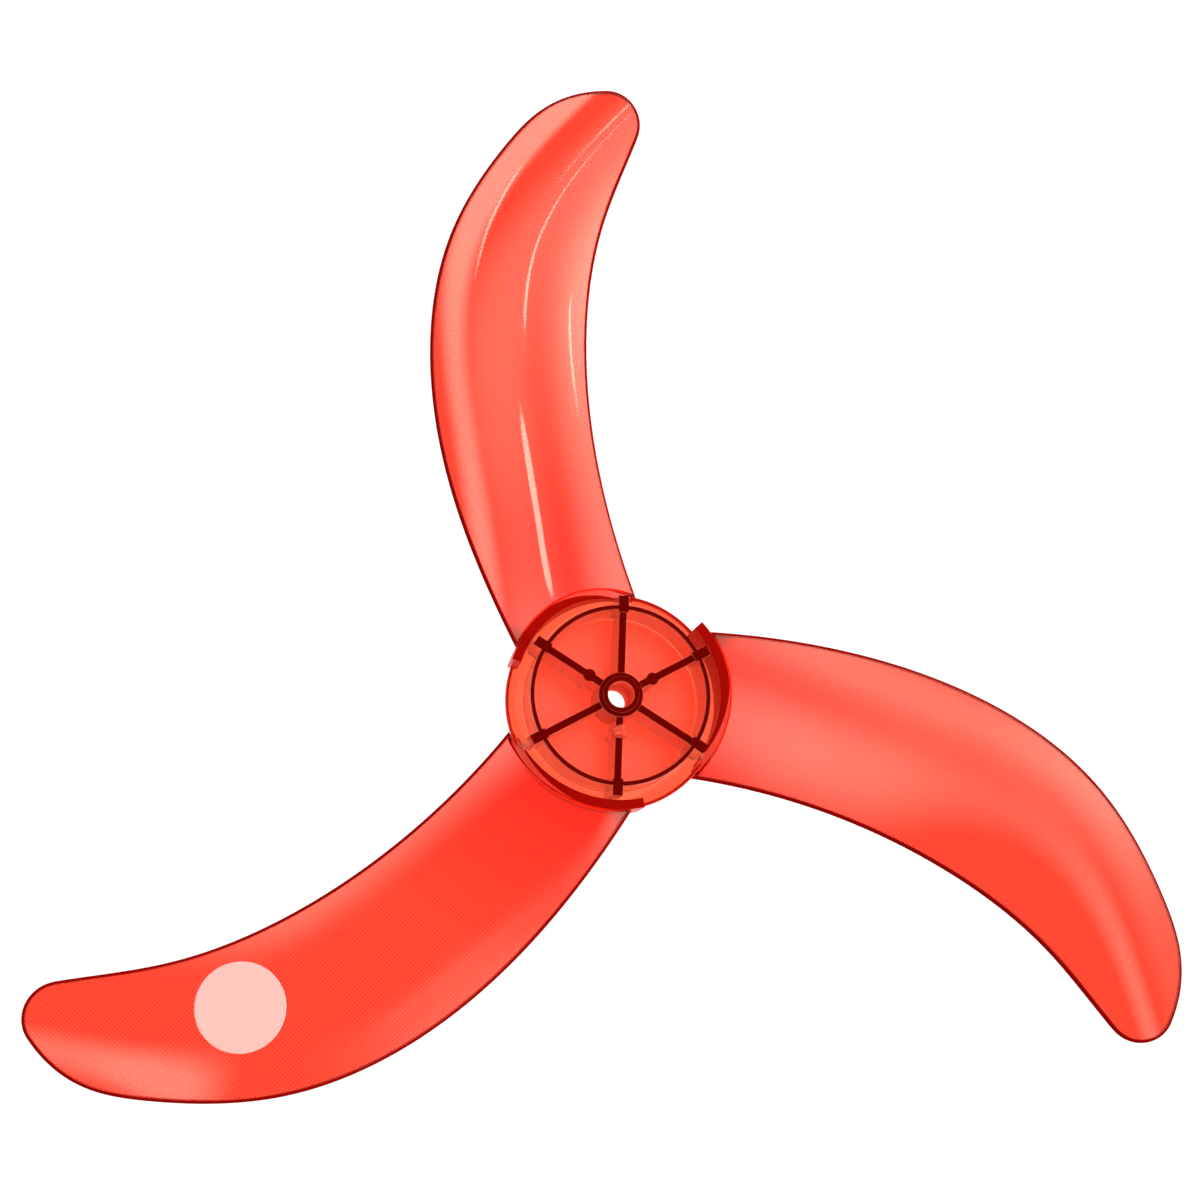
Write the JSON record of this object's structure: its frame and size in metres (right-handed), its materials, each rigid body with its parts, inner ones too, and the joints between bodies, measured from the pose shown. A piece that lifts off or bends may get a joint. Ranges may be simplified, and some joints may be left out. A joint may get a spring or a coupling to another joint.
{
  "type": "fan blade",
  "caption": "Moulded clear red impeller for a pedestal fan: swept, pitched blades around a ribbed hub with a shaft bore.",
  "frame": {"origin": "centre of the shaft bore at the hub's front disc", "axes": "+Z along the shaft bore from the front disc to the ribbed rear, +Y along the first blade"},
  "size_m": [0.3514, 0.3247, 0.0201],
  "materials": {
    "clear_red_plastic": "clear, gloss, coloured through"
  },
  "bodies": {
    "root": {"fan_blade": "clear_red_plastic"}
  },
  "joints": []
}
